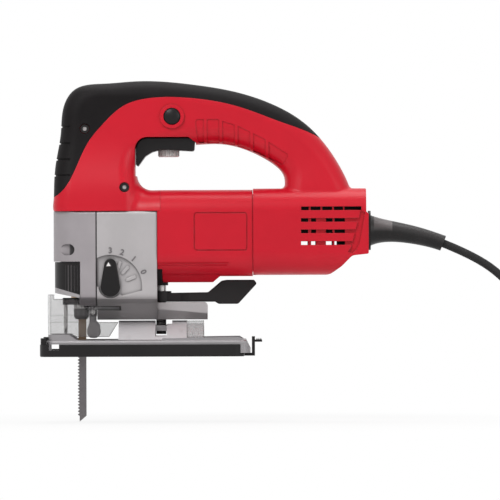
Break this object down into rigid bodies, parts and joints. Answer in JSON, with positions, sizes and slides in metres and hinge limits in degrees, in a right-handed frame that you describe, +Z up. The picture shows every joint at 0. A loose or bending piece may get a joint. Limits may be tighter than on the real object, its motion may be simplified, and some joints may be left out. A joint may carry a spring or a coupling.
{
  "type": "jigsaw power tool",
  "caption": "Corded jigsaw with a closed D handle, trigger with speed dial, orbit selector, tool-free blade release and a bevelling foot with a clear blade guard.",
  "frame": {"origin": "centre of the sole, on its underside, in the plane of the blade", "axes": "+Z up, +X from the blade to the cord, seen from -Y"},
  "size_m": [0.5848, 0.1123, 0.2653],
  "materials": {
    "red_shell": "satin moulded plastic",
    "soft_grip": "soft-touch overmould",
    "black_plastic": "fine-grained moulded plastic",
    "cast_grey": "blasted die casting",
    "sheet_grey": "pressed and plated",
    "steel": "ground",
    "blade_steel": "blued, ground teeth",
    "laminations": "stacked laminations",
    "copper": "enamelled wire",
    "bronze": "sintered",
    "carbon": "pressed carbon",
    "clear_plastic": "clear moulded plastic",
    "dial_grey": "moulded plastic",
    "cord_black": "matt rubber sheath",
    "screw_steel": "blackened"
  },
  "bodies": {
    "housing": {"gear_housing": "cast_grey", "front_cover": "cast_grey", "cover_screws": "screw_steel", "release_pin": "steel", "plunger_seal": "soft_grip", "lower_bush": "bronze", "upper_bush": "bronze", "gear_axle": "steel", "front_bearing": "steel", "rear_bearing": "steel", "field_stack": "laminations", "field_coils": "copper", "brush_carrier": "black_plastic", "brush_holders": "bronze", "brushes": "carbon", "brush_springs": "steel", "motor_housing": "red_shell", "handle_left": "red_shell", "handle_right": "red_shell", "grip_left": "soft_grip", "grip_right": "soft_grip", "handle_screws": "screw_steel", "switch_body": "black_plastic", "pivot_pin": "steel", "clamp_bolt": "steel", "clamp_nut": "steel", "bolt_block": "black_plastic", "wire_guard": "steel", "capacitor": "dial_grey", "cord_clamp": "black_plastic", "cord_guard": "cord_black", "cord_lead": "cord_black", "cord_coil": "cord_black", "cord_tie": "black_plastic", "plug_body": "cord_black", "plug_pins": "steel"},
    "foot": {"foot_plate": "sheet_grey", "foot_saddle": "sheet_grey", "dust_duct": "clear_plastic", "sole_cover": "black_plastic"},
    "release": {"release_lever": "black_plastic"},
    "plunger": {"plunger": "steel", "blade_clamp": "screw_steel", "yoke": "steel", "blade": "blade_steel"},
    "gear": {"drive_gear": "steel", "crank_pin": "steel"},
    "armature": {"armature_shaft": "steel", "armature_stack": "laminations", "armature_windings": "copper", "commutator": "copper", "cooling_fan": "black_plastic"},
    "trigger": {"trigger": "black_plastic"},
    "dial": {"speed_dial": "dial_grey"},
    "lock": {"lock_button": "black_plastic"},
    "selector": {"orbit_knob": "black_plastic"},
    "roller_arm": {"roller_arm": "steel"},
    "roller": {"guide_roller": "steel"},
    "clamp": {"clamp_lever": "black_plastic"},
    "guard": {"clear_guard": "clear_plastic"}
  },
  "joints": [
    {"name": "foot_tilt", "type": "hinge", "parent": "housing", "child": "foot", "pos_m": [0, 0, 0], "axis": [1, 0, 0], "range_deg": [-45, 45]},
    {"name": "plunger_slide", "type": "slide", "parent": "housing", "child": "plunger", "axis": [0, 0, 1], "range_m": [-0.003, 0.021]},
    {"name": "gear_spin", "type": "hinge", "parent": "housing", "child": "gear", "pos_m": [-0.025, 0, 0.069], "axis": [1, 0, 0], "continuous": true},
    {"name": "armature_spin", "type": "hinge", "parent": "housing", "child": "armature", "pos_m": [0.04, 0, 0.095], "axis": [1, 0, 0], "continuous": true},
    {"name": "trigger_press", "type": "slide", "parent": "housing", "child": "trigger", "axis": [0, 0, 1], "range_m": [0, 0.005], "stiffness_N_per_m": 600, "springref_m": -0.002},
    {"name": "dial_turn", "type": "hinge", "parent": "trigger", "child": "dial", "pos_m": [0.0153, 0, 0.1587], "axis": [0, 0, 1], "range_deg": [-135, 135]},
    {"name": "lock_press", "type": "slide", "parent": "housing", "child": "lock", "axis": [0, 1, 0], "range_m": [0, 0.004], "stiffness_N_per_m": 400, "springref_m": -0.001},
    {"name": "selector_turn", "type": "hinge", "parent": "housing", "child": "selector", "pos_m": [-0.0299, -0.033, 0.0542], "axis": [0, 1, 0], "range_deg": [0, 68]},
    {"name": "release_swing", "type": "hinge", "parent": "housing", "child": "release", "pos_m": [-0.0669, 0.0233, 0.062], "axis": [0, 0, 1], "range_deg": [-50, 0], "stiffness_Nm_per_rad": 0.1, "springref_deg": 11.46},
    {"name": "clamp_swing", "type": "hinge", "parent": "housing", "child": "clamp", "pos_m": [0.009, 0, 0.045], "axis": [0, 0, 1], "range_deg": [-60, 0]},
    {"name": "roller_arm_swing", "type": "hinge", "parent": "housing", "child": "roller_arm", "pos_m": [-0.044, 0, 0.0345], "axis": [0, 1, 0], "range_deg": [-3, 0]},
    {"name": "roller_spin", "type": "hinge", "parent": "roller_arm", "child": "roller", "pos_m": [-0.04365, 0, 0.0195], "axis": [0, 1, 0], "continuous": true},
    {"name": "guard_slide", "type": "slide", "parent": "housing", "child": "guard", "axis": [-1, 0, 0], "range_m": [0, 0.04]}
  ],
  "couplings": [
    {"joint": "armature_spin", "follows": "gear_spin", "ratio": -5.5}
  ]
}
